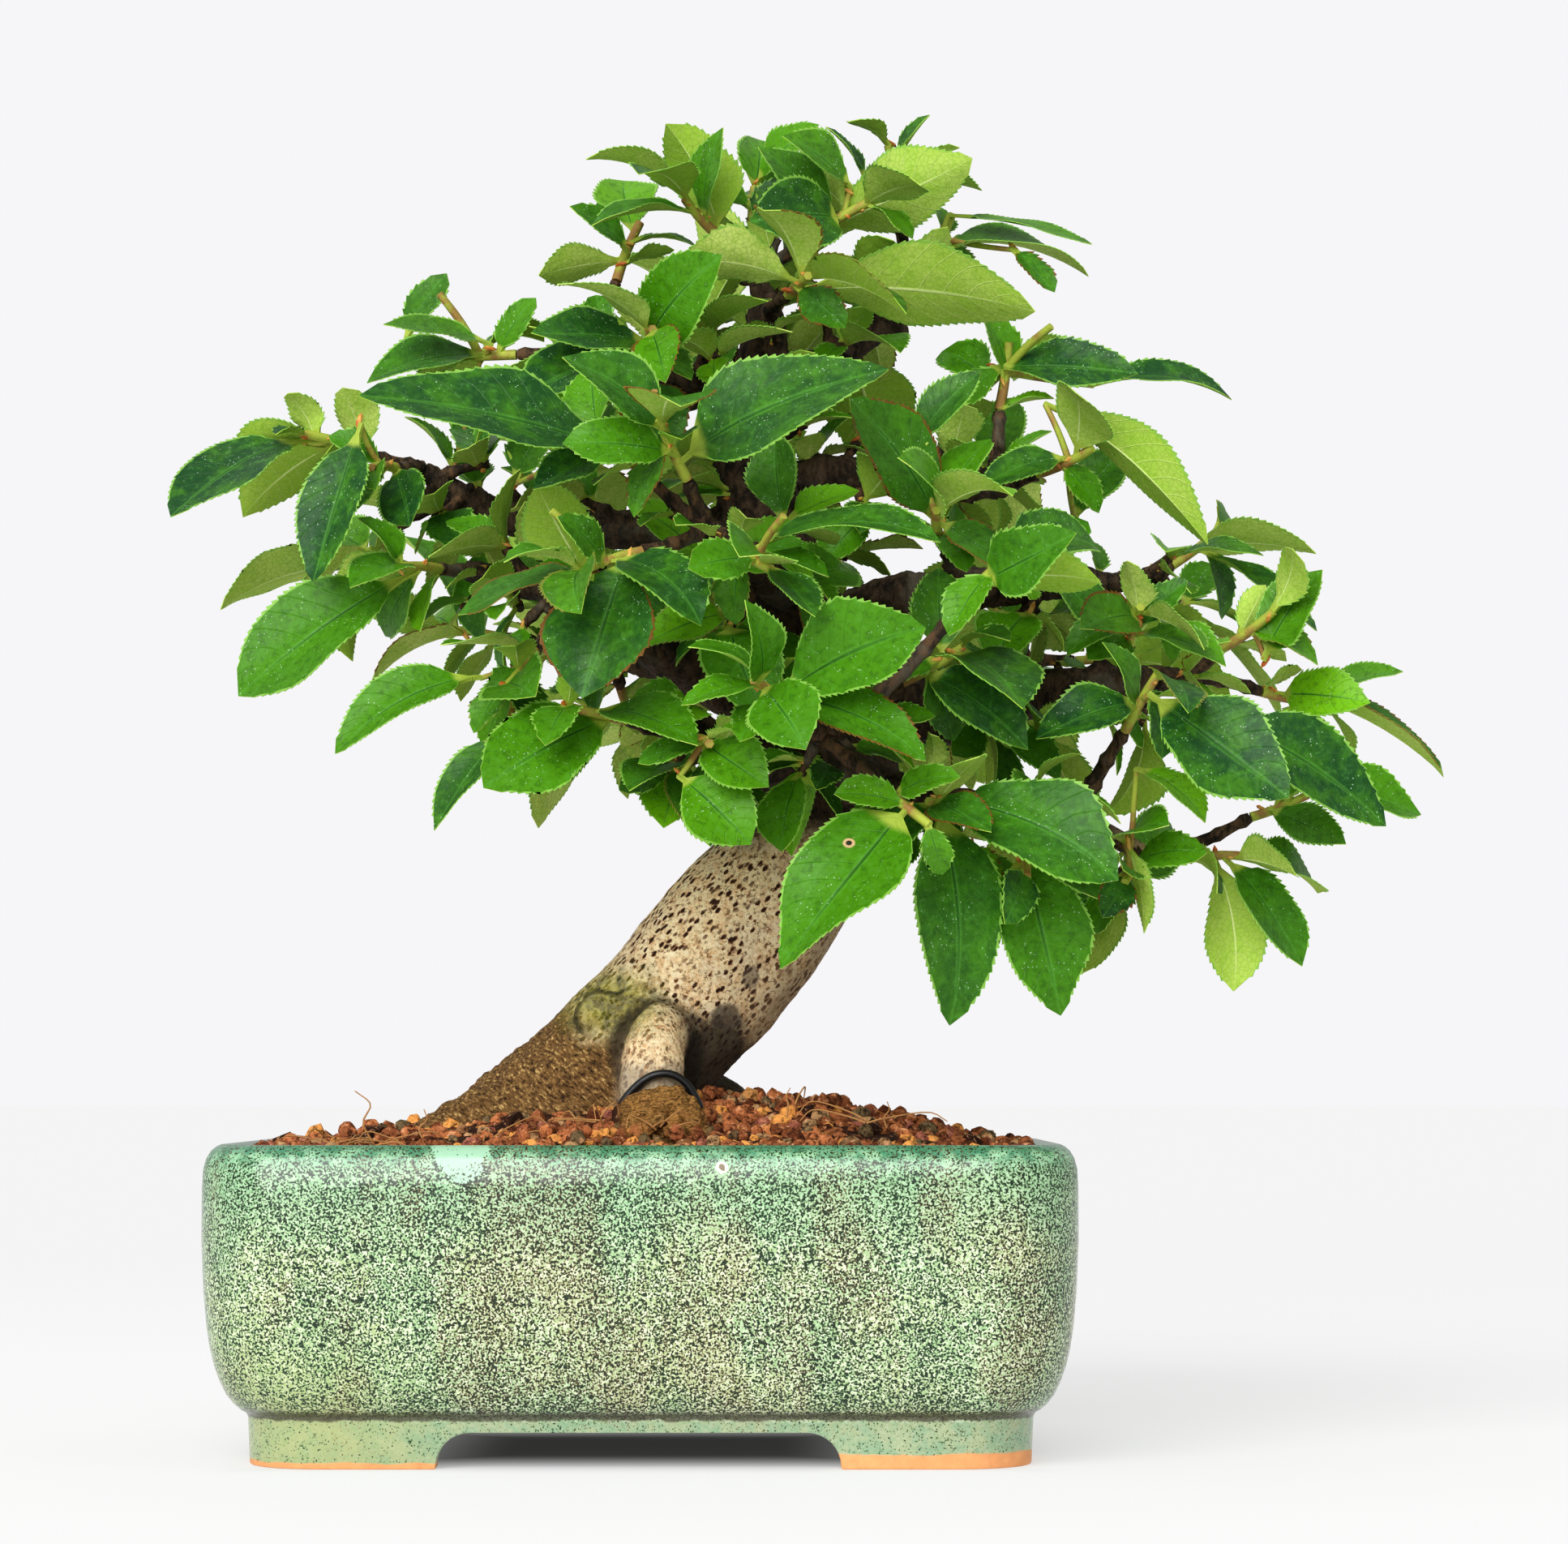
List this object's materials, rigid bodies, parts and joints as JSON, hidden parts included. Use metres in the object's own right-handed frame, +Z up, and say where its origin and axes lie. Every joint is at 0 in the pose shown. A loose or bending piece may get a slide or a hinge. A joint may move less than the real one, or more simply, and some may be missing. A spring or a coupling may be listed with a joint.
{
  "type": "chinese quince bonsai",
  "caption": "Small leafy Chinese quince bonsai with a leaning, curved trunk, grown in granular soil in a footed, soft-cornered rectangular glazed pot.",
  "frame": {"origin": "middle of the whole plant's footprint box, at the level that the pot's feet stand on", "axes": "+X to the right along the pot's long side, +Y to the back across its short side, +Z up; the tree's front looks along -Y"},
  "size_m": [0.254, 0.1816, 0.2669],
  "materials": {
    "pot_glaze": "glossy celadon glaze, densely speckled with dark green",
    "drain_screen": "matte black mesh",
    "soil_grains": "rough, dry red-brown clay granules",
    "bark": "flaking tan-grey bark with dark lenticels, darker on the upper limbs",
    "root_band": "smooth black, slightly glossy",
    "foliage": "satin dark green upper faces, matte pale green undersides"
  },
  "bodies": {
    "root": {"pot": "pot_glaze", "drain_mesh_left": "drain_screen", "drain_mesh_right": "drain_screen", "soil": "soil_grains", "trunk": "bark", "root_tie": "root_band", "spray_apex_left": "foliage", "spray_apex_far_left": "foliage", "spray_apex_top": "foliage", "spray_apex_crown": "foliage", "spray_apex_right": "foliage", "spray_apex_front": "foliage", "spray_right_top": "foliage", "spray_right_crest": "foliage", "spray_right_shoulder": "foliage", "spray_centre_right": "foliage", "spray_centre_high": "foliage", "spray_left_long": "foliage", "spray_left_inner": "foliage", "spray_left_crest": "foliage", "spray_left_high": "foliage", "spray_left_shoot": "foliage", "spray_left_end": "foliage", "spray_left_under": "foliage", "spray_left_front_low": "foliage", "spray_front_low_left": "foliage", "spray_front_left": "foliage", "spray_front_centre": "foliage", "spray_front_low_centre": "foliage", "spray_right_front_low": "foliage", "spray_right_front_hang": "foliage", "spray_right_hang": "foliage", "spray_right_tip_low": "foliage", "spray_right_end_low": "foliage", "spray_right_big": "foliage", "spray_right_far": "foliage", "spray_right_far_mid": "foliage", "spray_right_mid_high": "foliage", "spray_right_mid": "foliage", "spray_centre_right_low": "foliage", "spray_centre_right_mid": "foliage", "spray_centre_mid": "foliage", "spray_back_left_low": "foliage", "spray_back_left_mid": "foliage", "spray_back_left_end": "foliage", "spray_back_left_side": "foliage", "spray_back_right_low": "foliage", "spray_back_right_mid": "foliage", "spray_back_right_end": "foliage", "spray_back_right_side": "foliage", "spray_back_right_high": "foliage", "spray_back_middle": "foliage", "spray_back_middle_low": "foliage", "spray_back_middle_high": "foliage", "spray_back_left_high": "foliage", "spray_back_crest": "foliage", "spray_back_crest_right": "foliage", "spray_back_apex": "foliage"}
  },
  "joints": []
}
